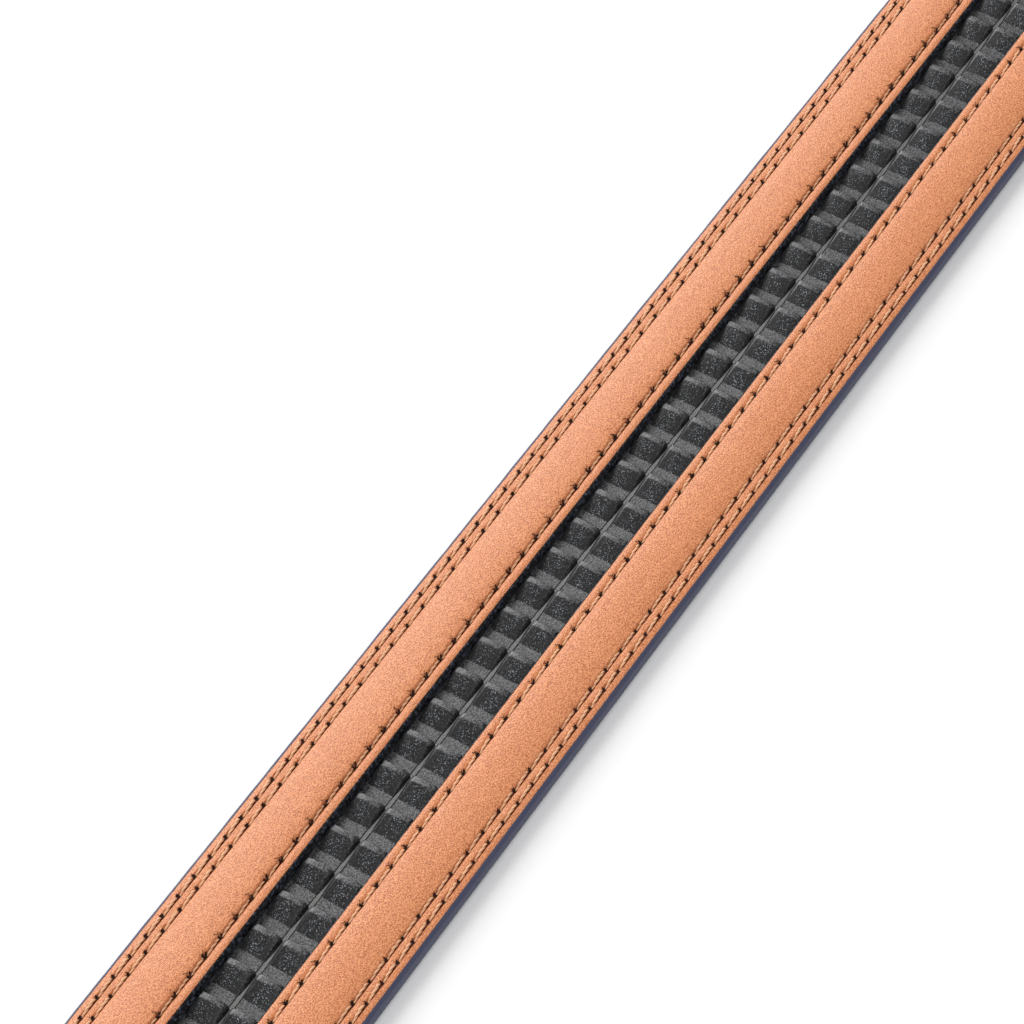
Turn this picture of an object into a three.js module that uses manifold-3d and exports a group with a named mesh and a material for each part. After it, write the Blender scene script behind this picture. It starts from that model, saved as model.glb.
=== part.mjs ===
// Ratchet belt: a two-layer leather strap with a toothed track let into its inner side, and a plain
// buckle clamped to the cut end. The belt lies straight, with its inner side up and the buckle's
// face down. Millimetres, +Z up, +X from the tip towards the buckle. The origin is under the middle
// of the belt, on the surface that it lies on.
import * as THREE from 'three';
import { ConvexGeometry } from 'three/addons/geometries/ConvexGeometry.js';
import { mergeVertices } from 'three/addons/utils/BufferGeometryUtils.js';
import Module from 'manifold-3d';

const wasm = await Module();
wasm.setup();

// Strap
const STRAP_LENGTH = 1080; // from the tip to the cut end inside the clamp
const STRAP_WIDTH = 35;
const OUTER_THICKNESS = 1.6; // the outer leather, which lies underneath here
const INNER_THICKNESS = 1.8; // the inner leather at its fullest, with the slot in it
const LAYER_GAP = 0.1; // between layers that are glued in the real belt
const EDGE_ROUND = 0.7; // rounding of the long edges
const CROWN = 0.15; // how far the inner leather swells between its stitch rows
const TIP_CORNER = 12; // corner radius of the tip, seen from above

// Rise of the swollen leather, as shares of CROWN, from the slot's lip to the second stitch row
const SWELL = [
  { share: 1, rise: 0 },
  { share: 0.8, rise: 0.65 },
  { share: 0.5, rise: 1 },
  { share: 0.2, rise: 0.65 },
  { share: 0, rise: 0 },
];

// Stitch grooves of the double row, measured in from the strap's edge
const FIRST_ROW = 1.5;
const SECOND_ROW = 3.05;
const GROOVE_WIDTH = 0.7;
const GROOVE_DEPTH = 0.12;

// Slot in the inner leather
const SLOT_WIDTH = 10;
const SLOT_OVERRUN = 3; // length of slot past the first and the last tooth
const LIP_ROUND = 0.5; // rounding of the slot's upper edge

// Toothed track
const TRACK_START = 70; // from the tip to the first tooth
const TOOTH_COUNT = 50; // teeth in each of the two rows
const TOOTH_PITCH = 6.35;
const RAMP_LENGTH = 3.15;
const CREST_LENGTH = 0.95;
const TOOTH_HEIGHT = 1.15;
const TOOTH_WIDTH = 4.2; // across the strap, at the foot
const TOOTH_DRAFT = 0.35; // how far each end wall leans in towards the crest
const ROW_GAP = 1; // flat strip between the two rows
const TRACK_BASE = 0.5; // thickness of the strip that carries the teeth
const TRACK_FLANGE = 3; // how far that strip reaches under the leather round the slot

// Buckle
const BUCKLE_LENGTH = 56;
const FACE_THICKNESS = 1.8;
const SIDE_WALL = 2.5;
const BUCKLE_CORNER = 4;
const FACE_BEVEL = 0.6; // rounding round the face
const CHANNEL_HEIGHT = 4.4; // room for the tip, which slides in behind the face
const CHANNEL_SIDE = 0.5; // room beside the strap, on each side
const JAW_THICKNESS = 1.1;
const JAW_CLEARANCE = 0.2; // above and below the clamped strap
const CLAMP_LENGTH = 22; // length of the two jaws along the strap
const CLAMP_DEPTH = 20; // length of strap held between them
const BAR_LENGTH = 9; // cross bar at the far end, which hides the catch
const BAR_HEIGHT = 3.2;

// The strap rises from the surface to the clamp in one gentle bend
const BEND_LENGTH = 85;
const BEND_LEVEL = 4; // level stretch between the bend and the buckle

// Smoothness of the facets
const ARC_STEPS = 3; // along a rounded edge
const CORNER_STEPS = 5; // round each corner of the buckle
const BEVEL_STEPS = 2; // round the buckle's face
const TIP_STEPS = 6; // round each corner of the tip
const BEND_STEPS = 12;
const SLOT_END_STEPS = 10; // round each end of the slot
const OVERCUT = 1; // how far a cutter runs past what it cuts
const ROOT_DEPTH = 0.2; // how deep a tooth stands in its strip, to join it

// Places along and across the belt, and heights, from the sizes above
const STRAP_THICKNESS = OUTER_THICKNESS + LAYER_GAP + INNER_THICKNESS;
const BELT_LENGTH = STRAP_LENGTH + BUCKLE_LENGTH - CLAMP_DEPTH;
const TIP_X = -BELT_LENGTH / 2;
const STRAP_END_X = TIP_X + STRAP_LENGTH;
const BUCKLE_X = STRAP_END_X - CLAMP_DEPTH;
const BUCKLE_END_X = BUCKLE_X + BUCKLE_LENGTH;
const BUCKLE_WIDTH = STRAP_WIDTH + 2 * (CHANNEL_SIDE + SIDE_WALL);
const BEND_END_X = BUCKLE_X - BEND_LEVEL;
const BEND_START_X = BEND_END_X - BEND_LENGTH;
const LOWER_JAW_Z = FACE_THICKNESS + CHANNEL_HEIGHT;
const STRAP_LIFT = LOWER_JAW_Z + JAW_THICKNESS + JAW_CLEARANCE;
const UPPER_JAW_Z = STRAP_LIFT + STRAP_THICKNESS + JAW_CLEARANCE;
const BUCKLE_HEIGHT = UPPER_JAW_Z + JAW_THICKNESS;
const TRACK_X = TIP_X + TRACK_START;
const TOOTH_LENGTH = RAMP_LENGTH + CREST_LENGTH;
const TEETH_LENGTH = (TOOTH_COUNT - 1) * TOOTH_PITCH + TOOTH_LENGTH;
const TRACK_CENTRE_X = TRACK_X + TEETH_LENGTH / 2;
const TRACK_FLOOR_Z = OUTER_THICKNESS; // top of the strip that carries the teeth

const leather = { color: 0xd98a5c, roughness: 0.55, metalness: 0 };
const outerLeather = { color: 0x27272d, roughness: 0.5, metalness: 0 };
const mouldedPlastic = { color: 0x35363a, roughness: 0.5, metalness: 0 };
const brushedMetal = { color: 0x8d9096, roughness: 0.35, metalness: 1 };

// Solids

// The geometry as a solid that can be joined and cut
function solidOf(geometry) {
  const points = geometry.clone();
  points.deleteAttribute('normal');
  points.deleteAttribute('uv');
  const merged = mergeVertices(points);
  const vertProperties = new Float32Array(merged.attributes.position.array);
  const triVerts = new Uint32Array(merged.index.array);
  return new wasm.Manifold(new wasm.Mesh({ numProp: 3, vertProperties, triVerts }));
}

// The solid as a geometry with flat facets
function geometryOf(solid) {
  const mesh = solid.getMesh();
  const geometry = new THREE.BufferGeometry();
  geometry.setAttribute('position', new THREE.BufferAttribute(mesh.vertProperties, 3));
  geometry.setIndex(new THREE.BufferAttribute(mesh.triVerts, 1));
  const faceted = geometry.toNonIndexed();
  faceted.computeVertexNormals();
  return faceted;
}

// A closed body through rings of points, all with as many points and the same way round: seen from
// the last ring towards the first, each ring runs counter-clockwise
function loft(rings, flatten) {
  const count = rings[0].length;
  const positions = rings.flat().flatMap((point) => point.toArray());
  const index = [];
  for (let r = 0; r < rings.length - 1; r += 1) {
    for (let i = 0; i < count; i += 1) {
      const j = (i + 1) % count;
      const a = r * count + i;
      const b = r * count + j;
      index.push(a, b, b + count);
      index.push(a, b + count, a + count);
    }
  }
  const last = (rings.length - 1) * count;
  const startCap = THREE.ShapeUtils.triangulateShape(rings[0].map(flatten), []);
  const endCap = THREE.ShapeUtils.triangulateShape(rings[rings.length - 1].map(flatten), []);
  startCap.forEach(([a, b, c]) => index.push(c, b, a));
  endCap.forEach(([a, b, c]) => index.push(last + a, last + b, last + c));
  const geometry = new THREE.BufferGeometry();
  geometry.setAttribute('position', new THREE.Float32BufferAttribute(positions, 3));
  geometry.setIndex(index);
  return geometry;
}

// A box given by its lowest and highest corners
function boxBetween(low, high) {
  const size = new THREE.Vector3().subVectors(high, low);
  const middle = new THREE.Vector3().addVectors(low, high).multiplyScalar(0.5);
  const box = new THREE.BoxGeometry(size.x, size.y, size.z);
  return box.translate(middle.x, middle.y, middle.z);
}

// Quarter-round points from the steep end of an edge to its flat end
function quarterRound(radius) {
  const points = [];
  for (let i = 0; i <= ARC_STEPS; i += 1) {
    const angle = (Math.PI / 2) * (i / ARC_STEPS);
    points.push({ inset: radius * (1 - Math.cos(angle)), rise: radius * Math.sin(angle) });
  }
  return points;
}

// Strap

// Height of the strap's underside above the surface
function liftAt(x) {
  const t = THREE.MathUtils.clamp((x - BEND_START_X) / BEND_LENGTH, 0, 1);
  return STRAP_LIFT * THREE.MathUtils.smootherstep(t, 0, 1);
}

// Stations along the strap: the rounded tip, the level length, the bend and the clamped end
function strapStations() {
  const stations = [];
  for (let i = 0; i <= TIP_STEPS; i += 1) {
    const angle = (Math.PI / 2) * (i / TIP_STEPS);
    const x = TIP_X + TIP_CORNER * (1 - Math.cos(angle));
    const halfWidth = STRAP_WIDTH / 2 - TIP_CORNER * (1 - Math.sin(angle));
    stations.push({ x, halfWidth });
  }
  for (let i = 0; i <= BEND_STEPS; i += 1) {
    stations.push({ x: BEND_START_X + BEND_LENGTH * (i / BEND_STEPS), halfWidth: STRAP_WIDTH / 2 });
  }
  stations.push({ x: STRAP_END_X, halfWidth: STRAP_WIDTH / 2 });
  return stations;
}

// A layer of the strap: half of its section, drawn at full width, is mirrored and swept
function strapLayer(halfSection) {
  const mirrored = halfSection.filter(({ across }) => across > 0).reverse();
  const section = [...halfSection, ...mirrored.map(({ across, up }) => ({ across: -across, up }))];
  const rings = strapStations().map(({ x, halfWidth }) => {
    const narrowing = halfWidth / (STRAP_WIDTH / 2);
    return section.map(({ across, up }) => new THREE.Vector3(x, across * narrowing, up + liftAt(x)));
  });
  return solidOf(loft(rings, (point) => new THREE.Vector2(point.y, point.z)));
}

// Outer leather, with a shallow pocket that the track's strip lies in
function makeOuterLeather() {
  const edge = STRAP_WIDTH / 2;
  const lowerCorner = quarterRound(EDGE_ROUND).reverse();
  const halfSection = [
    { across: 0, up: 0 },
    ...lowerCorner.map(({ inset, rise }) => ({ across: edge - inset, up: EDGE_ROUND - rise })),
    { across: edge, up: OUTER_THICKNESS },
    { across: 0, up: OUTER_THICKNESS },
  ];
  const { halfLength, halfWidth } = trackStrip();
  const pocket = boxBetween(
    new THREE.Vector3(
      TRACK_CENTRE_X - halfLength - LAYER_GAP,
      -halfWidth - LAYER_GAP,
      OUTER_THICKNESS - TRACK_BASE - LAYER_GAP,
    ),
    new THREE.Vector3(
      TRACK_CENTRE_X + halfLength + LAYER_GAP,
      halfWidth + LAYER_GAP,
      OUTER_THICKNESS + OVERCUT,
    ),
  );
  return geometryOf(strapLayer(halfSection).subtract(solidOf(pocket)));
}

// Inner leather: swollen between its stitch rows, with the long slot that shows the teeth
function makeInnerLeather() {
  const edge = STRAP_WIDTH / 2;
  const low = OUTER_THICKNESS + LAYER_GAP;
  const top = STRAP_THICKNESS;
  const shoulder = top - CROWN;
  const firstRow = edge - FIRST_ROW;
  const secondRow = edge - SECOND_ROW;
  const swellStart = SLOT_WIDTH / 2 + LIP_ROUND;
  const swellEnd = secondRow - GROOVE_WIDTH / 2;
  const halfSection = [
    { across: 0, up: low },
    { across: edge, up: low },
    ...quarterRound(EDGE_ROUND).map(({ inset, rise }) => ({
      across: edge - inset,
      up: shoulder - EDGE_ROUND + rise,
    })),
    { across: firstRow + GROOVE_WIDTH / 2, up: shoulder },
    { across: firstRow, up: shoulder - GROOVE_DEPTH },
    { across: (firstRow + secondRow) / 2, up: shoulder + CROWN / 2 },
    { across: secondRow, up: shoulder - GROOVE_DEPTH },
    ...SWELL.map(({ share, rise }) => ({
      across: THREE.MathUtils.lerp(swellStart, swellEnd, share),
      up: shoulder + CROWN * rise,
    })),
    { across: 0, up: shoulder },
  ];
  return geometryOf(strapLayer(halfSection).subtract(solidOf(slotCutter(low, shoulder))));
}

// Round-ended slot, flared at the top so that the leather's lip is rounded
function slotCutter(low, shoulder) {
  const levels = [
    { z: low - OVERCUT, inset: 0 },
    ...quarterRound(LIP_ROUND).map(({ inset, rise }) => ({ z: shoulder - LIP_ROUND + rise, inset })),
    { z: shoulder + OVERCUT, inset: LIP_ROUND },
  ];
  const straight = TEETH_LENGTH / 2 + SLOT_OVERRUN - SLOT_WIDTH / 2;
  const rings = levels.map(({ z, inset }) => {
    const radius = SLOT_WIDTH / 2 + inset;
    const ring = [];
    for (const side of [1, -1]) {
      for (let i = 0; i <= SLOT_END_STEPS; i += 1) {
        const angle = Math.PI * (i / SLOT_END_STEPS - 0.5);
        const x = TRACK_CENTRE_X + side * (straight + radius * Math.cos(angle));
        ring.push(new THREE.Vector3(x, side * radius * Math.sin(angle), z));
      }
    }
    return ring;
  });
  return loft(rings, (point) => new THREE.Vector2(point.x, point.y));
}

// Toothed track

function trackStrip() {
  return {
    halfLength: TEETH_LENGTH / 2 + SLOT_OVERRUN + TRACK_FLANGE,
    halfWidth: SLOT_WIDTH / 2 + TRACK_FLANGE,
  };
}

// One tooth: a ramp that rises towards the buckle, a flat crest and a steep drop
function tooth(x, y) {
  const foot = TOOTH_WIDTH / 2;
  const crest = foot - TOOTH_DRAFT;
  const corners = [];
  for (const side of [-1, 1]) {
    corners.push(new THREE.Vector3(0, side * foot, -ROOT_DEPTH));
    corners.push(new THREE.Vector3(0, side * foot, 0));
    corners.push(new THREE.Vector3(RAMP_LENGTH, side * crest, TOOTH_HEIGHT));
    corners.push(new THREE.Vector3(TOOTH_LENGTH, side * crest, TOOTH_HEIGHT));
    corners.push(new THREE.Vector3(TOOTH_LENGTH, side * foot, 0));
    corners.push(new THREE.Vector3(TOOTH_LENGTH, side * foot, -ROOT_DEPTH));
  }
  return new ConvexGeometry(corners).translate(x, y, TRACK_FLOOR_Z);
}

function makeTrack() {
  const { halfLength, halfWidth } = trackStrip();
  const strip = boxBetween(
    new THREE.Vector3(TRACK_CENTRE_X - halfLength, -halfWidth, TRACK_FLOOR_Z - TRACK_BASE),
    new THREE.Vector3(TRACK_CENTRE_X + halfLength, halfWidth, TRACK_FLOOR_Z),
  );
  const rowY = (ROW_GAP + TOOTH_WIDTH) / 2;
  let track = solidOf(strip);
  for (let i = 0; i < TOOTH_COUNT; i += 1) {
    for (const side of [-1, 1]) {
      track = track.add(solidOf(tooth(TRACK_X + i * TOOTH_PITCH, side * rowY)));
    }
  }
  return geometryOf(track);
}

// Buckle

function roundedRectangle(length, width, corner) {
  const shape = new THREE.Shape();
  const x = length / 2 - corner;
  const y = width / 2 - corner;
  shape.absarc(x, y, corner, 0, Math.PI / 2);
  shape.absarc(-x, y, corner, Math.PI / 2, Math.PI);
  shape.absarc(-x, -y, corner, Math.PI, 1.5 * Math.PI);
  shape.absarc(x, -y, corner, 1.5 * Math.PI, 2 * Math.PI);
  return shape;
}

// A face plate with two side walls, two jaws that hold the strap, and a cross bar over the channel
function makeBuckle() {
  const outline = roundedRectangle(
    BUCKLE_LENGTH - 2 * FACE_BEVEL,
    BUCKLE_WIDTH - 2 * FACE_BEVEL,
    BUCKLE_CORNER - FACE_BEVEL,
  );
  const block = new THREE.ExtrudeGeometry(outline, {
    depth: BUCKLE_HEIGHT - 2 * FACE_BEVEL,
    bevelThickness: FACE_BEVEL,
    bevelSize: FACE_BEVEL,
    bevelSegments: BEVEL_STEPS,
    curveSegments: CORNER_STEPS,
  });
  block.translate((BUCKLE_X + BUCKLE_END_X) / 2, 0, FACE_BEVEL);
  const inside = BUCKLE_WIDTH / 2 - SIDE_WALL;
  const hollows = [
    // the channel for the tip, behind the face
    [BUCKLE_X - OVERCUT, FACE_THICKNESS, BUCKLE_END_X + OVERCUT, LOWER_JAW_Z],
    // the clamp's mouth
    [BUCKLE_X - OVERCUT, STRAP_LIFT - JAW_CLEARANCE, BUCKLE_X + CLAMP_LENGTH, UPPER_JAW_Z],
    // the open well between the jaws and the cross bar
    [BUCKLE_X + CLAMP_LENGTH, FACE_THICKNESS, BUCKLE_END_X - BAR_LENGTH, BUCKLE_HEIGHT + OVERCUT],
    // the step above the cross bar
    [
      BUCKLE_END_X - BAR_LENGTH - OVERCUT,
      LOWER_JAW_Z + BAR_HEIGHT,
      BUCKLE_END_X + OVERCUT,
      BUCKLE_HEIGHT + OVERCUT,
    ],
  ];
  let buckle = solidOf(block);
  for (const [lowX, lowZ, highX, highZ] of hollows) {
    const low = new THREE.Vector3(lowX, -inside, lowZ);
    const high = new THREE.Vector3(highX, inside, highZ);
    buckle = buckle.subtract(solidOf(boxBetween(low, high)));
  }
  return geometryOf(buckle);
}

// The belt

const belt = new THREE.Group();

function addPiece(name, geometry, finish) {
  const mesh = new THREE.Mesh(geometry, new THREE.MeshStandardMaterial(finish));
  mesh.name = name;
  belt.add(mesh);
}

addPiece('outer_leather', makeOuterLeather(), outerLeather);
addPiece('inner_leather', makeInnerLeather(), leather);
addPiece('ratchet_track', makeTrack(), mouldedPlastic);
addPiece('buckle', makeBuckle(), brushedMetal);

export default belt;
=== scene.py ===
import math

import bmesh
import bpy
import numpy as np
from mathutils import Matrix, Vector, kdtree


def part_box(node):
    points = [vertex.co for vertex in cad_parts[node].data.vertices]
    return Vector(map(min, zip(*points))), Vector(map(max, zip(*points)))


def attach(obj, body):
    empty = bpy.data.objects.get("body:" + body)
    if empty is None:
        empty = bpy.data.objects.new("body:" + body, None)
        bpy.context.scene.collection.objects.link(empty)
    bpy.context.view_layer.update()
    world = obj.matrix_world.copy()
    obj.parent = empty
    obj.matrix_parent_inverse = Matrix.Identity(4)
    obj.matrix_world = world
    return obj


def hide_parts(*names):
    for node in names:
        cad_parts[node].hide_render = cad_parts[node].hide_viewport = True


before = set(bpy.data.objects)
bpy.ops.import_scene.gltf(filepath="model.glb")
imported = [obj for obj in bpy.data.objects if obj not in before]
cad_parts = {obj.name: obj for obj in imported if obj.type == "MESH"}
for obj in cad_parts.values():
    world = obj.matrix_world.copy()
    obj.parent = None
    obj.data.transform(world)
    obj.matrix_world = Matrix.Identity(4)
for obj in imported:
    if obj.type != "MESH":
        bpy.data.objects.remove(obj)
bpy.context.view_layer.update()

# Ratchet belt, lying straight with its inner side up. Shapes are worked out in millimetres, in the
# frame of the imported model: +X from the tip to the buckle, +Z up. A mesh is made in metres.
MM = 0.001


def box_mm(node):
    low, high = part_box(node)
    return np.array(low) / MM, np.array(high) / MM


INNER_LOW, INNER_HIGH = box_mm("inner_leather")
_, OUTER_HIGH = box_mm("outer_leather")
TRACK_LOW, TRACK_HIGH = box_mm("ratchet_track")
BUCKLE_LOW, _ = box_mm("buckle")

# Strap
TIP_X = INNER_LOW[0]
CUT_X = INNER_HIGH[0]
HALF_WIDTH = INNER_HIGH[1]
TIP_CORNER = 12.0
OUTER_THICKNESS = 1.6
INNER_LOW_Z = INNER_LOW[2]
STRAP_LIFT = OUTER_HIGH[2] - OUTER_THICKNESS
STRAP_TOP = INNER_HIGH[2] - STRAP_LIFT
EDGE_ROUND = 0.7
BEND_LEVEL = 4.0
BEND_LENGTH = 85.0
BEND_END_X = BUCKLE_LOW[0] - BEND_LEVEL
BEND_START_X = BEND_END_X - BEND_LENGTH

# Slot and track
TRACK_CENTRE_X = (TRACK_LOW[0] + TRACK_HIGH[0]) / 2
FLANGE = 3.0
SLOT_HALF_WIDTH = TRACK_HIGH[1] - FLANGE
SLOT_HALF_LENGTH = (TRACK_HIGH[0] - TRACK_LOW[0]) / 2 - FLANGE
SLOT_OVERRUN = 3.0
LIP_ROUND = 0.6
TOOTH_COUNT = 50
TOOTH_PITCH = 6.35
RAMP_LENGTH = 3.15
CREST_LENGTH = 0.95
TOOTH_HEIGHT = 1.15
TOOTH_WIDTH = 4.2
ROW_GAP = 1.0
ROW_CENTRE = 2.7
RIB_HALF_WIDTH = 0.28
TRACK_FLOOR_Z = TRACK_HIGH[2] - TOOTH_HEIGHT
TEETH_X = TRACK_CENTRE_X - SLOT_HALF_LENGTH + SLOT_OVERRUN

# Relief of the inner leather: it lies over the track's strip, so it falls towards its outer edges
SHOULDER = 3.2
SLOT_SIDE_RISE = 0.56
SWELL_RISE = 0.7
SWELL_BLUNTNESS = 6
SWELL_START_SHARE = 1 / 6
LIP_RISE = 0.13
LIP_PLACE = 1.0
LIP_SPREAD = 0.5
RIB_RISE = 0.1
RIB_SPREAD = 0.35
BEAD_RISE = 0.07
BEAD_PLACE = 0.42
BEAD_SPREAD = 0.12
GROOVE_DEPTH = 0.3
GROOVE_HALF_WIDTH = 0.27
WAVE_HEIGHT = 0.035
WAVE_LENGTH = 23.0
WAVE_FADE = 2.0

# Pucker of the face round a needle hole
PUCKER_DEPTH = 0.2
PUCKER_SPREAD = 0.4
PUCKER_REACH = 1.3
FOLD_COUNT = 5
FOLD_DEPTH = 0.05
FOLD_SPREAD = 0.8

# Stitch rows, measured from the slot's edge and from the strap's edge
SLOT_ROW = 1.9
FIRST_ROW = 1.5
SECOND_ROW = 3.05
SLOT_STITCH = 3.65
FIRST_STITCH = 3.8
SECOND_STITCH = 4.05
THREAD_RADIUS = 0.22
THREAD_LEAN = 0.15

# Smoothness
FINE_STEP = 0.55
COARSE_STEP = 3.0


def srgb(code):
    """A hex colour as linear values."""
    values = [int(code[i:i + 2], 16) / 255 for i in (1, 3, 5)]
    linear = [v / 12.92 if v <= 0.04045 else ((v + 0.055) / 1.055) ** 2.4 for v in values]
    return (*linear, 1.0)


def add_node(tree, kind, inputs=None, **settings):
    """Adds a node; an input is given a value, or the socket that feeds it."""
    made = tree.nodes.new(kind)
    for name, value in settings.items():
        setattr(made, name, value)
    for name, value in (inputs or {}).items():
        if isinstance(value, bpy.types.NodeSocket):
            tree.links.new(value, made.inputs[name])
        else:
            made.inputs[name].default_value = value
    return made


def new_material(name):
    material = bpy.data.materials.new(name)
    material.use_nodes = True
    tree = material.node_tree
    tree.nodes.clear()
    shader = add_node(tree, "ShaderNodeBsdfPrincipled")
    add_node(tree, "ShaderNodeOutputMaterial", {"Surface": shader.outputs[0]})
    place = add_node(tree, "ShaderNodeTexCoord").outputs["Object"]
    return material, tree, shader, place


# Materials

def pattern_scale(size_mm):
    """Scale of a texture whose cells are this size, in a space of metres."""
    return 1 / (size_mm * MM)


def tan_leather():
    """Corrected-grain cowhide, dyed through: an even tan with a very fine pebble and a soft sheen."""
    material, tree, shader, place = new_material("tan_cowhide")
    # the dye is uneven over a finger's width, and the pebble is 0.2 mm across
    cloud = add_node(tree, "ShaderNodeTexNoise", {"Vector": place, "Scale": pattern_scale(14)})
    grain = add_node(
        tree, "ShaderNodeTexNoise",
        {"Vector": place, "Scale": pattern_scale(0.2), "Detail": 0.5, "Roughness": 0.5,
         "Distortion": 0.4},
    )
    tone = add_node(
        tree, "ShaderNodeMix",
        {"Factor": cloud.outputs["Fac"], "A": srgb("#efa06e"), "B": srgb("#ea9866")},
        data_type="RGBA",
    )
    valleys = add_node(
        tree, "ShaderNodeMapRange",
        {"Value": grain.outputs["Fac"], "From Min": 0.36, "From Max": 0.6, "To Min": 0.7, "To Max": 0.0},
    )
    speckled = add_node(
        tree, "ShaderNodeMix",
        {"Factor": valleys.outputs["Result"], "A": tone.outputs["Result"], "B": srgb("#a0522a")},
        data_type="RGBA",
    )
    # painted shade: the grooves that the thread is pulled into are darkened brown
    groove_shade = add_node(tree, "ShaderNodeAttribute", attribute_name="groove_shade")
    grooved = add_node(
        tree, "ShaderNodeMix",
        {"Factor": groove_shade.outputs["Fac"], "A": speckled.outputs["Result"], "B": srgb("#4a1c0c")},
        data_type="RGBA",
    )
    tree.links.new(grooved.outputs["Result"], shader.inputs["Base Color"])
    bump = add_node(
        tree, "ShaderNodeBump",
        {"Height": grain.outputs["Fac"], "Strength": 0.8, "Distance": 0.12 * MM},
    )
    tree.links.new(bump.outputs["Normal"], shader.inputs["Normal"])
    shader.inputs["Roughness"].default_value = 0.4
    return material


def edge_paint():
    """Edge paint on the cut leather, brushed on in coats: navy, half glossy, with faint streaks."""
    material, tree, shader, place = new_material("navy_edge_paint")
    # brush marks half a millimetre wide, drawn out along the strap
    stretched = add_node(
        tree, "ShaderNodeMapping", {"Vector": place, "Scale": (0.06, 1.0, 1.0)},
    )
    streaks = add_node(
        tree, "ShaderNodeTexNoise",
        {"Vector": stretched.outputs["Vector"], "Scale": pattern_scale(0.5), "Detail": 3.0},
    )
    colour = add_node(
        tree, "ShaderNodeMix",
        {"Factor": streaks.outputs["Fac"], "A": srgb("#3b405c"), "B": srgb("#505269")},
        data_type="RGBA",
    )
    tree.links.new(colour.outputs["Result"], shader.inputs["Base Color"])
    bump = add_node(
        tree, "ShaderNodeBump",
        {"Height": streaks.outputs["Fac"], "Strength": 0.4, "Distance": 0.05 * MM},
    )
    tree.links.new(bump.outputs["Normal"], shader.inputs["Normal"])
    shader.inputs["Roughness"].default_value = 0.6
    return material


def shaded_slot_paint():
    """The same paint on the slot's walls, lumpy: its colour is darkened nearly to black as painted shade,
    and pale lumps in it are painted glints.
    """
    material, tree, shader, place = new_material("slot_edge_paint")
    # lumps of thick paint, half a millimetre across; the palest lumps carry the painted glints
    lumps = add_node(
        tree, "ShaderNodeTexNoise", {"Vector": place, "Scale": pattern_scale(0.5), "Detail": 3.0},
    )
    share = add_node(
        tree, "ShaderNodeMapRange",
        {"Value": lumps.outputs["Fac"], "From Min": 0.5, "From Max": 0.66},
    )
    # painted shade and painted glints: near black, with pale lumps
    colour = add_node(
        tree, "ShaderNodeMix",
        {"Factor": share.outputs["Result"], "A": srgb("#0b0c10"), "B": srgb("#545c6c")},
        data_type="RGBA",
    )
    tree.links.new(colour.outputs["Result"], shader.inputs["Base Color"])
    bump = add_node(
        tree, "ShaderNodeBump", {"Height": lumps.outputs["Fac"], "Strength": 1.0, "Distance": 0.25 * MM},
    )
    tree.links.new(bump.outputs["Normal"], shader.inputs["Normal"])
    shader.inputs["Roughness"].default_value = 0.35
    return material


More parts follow.
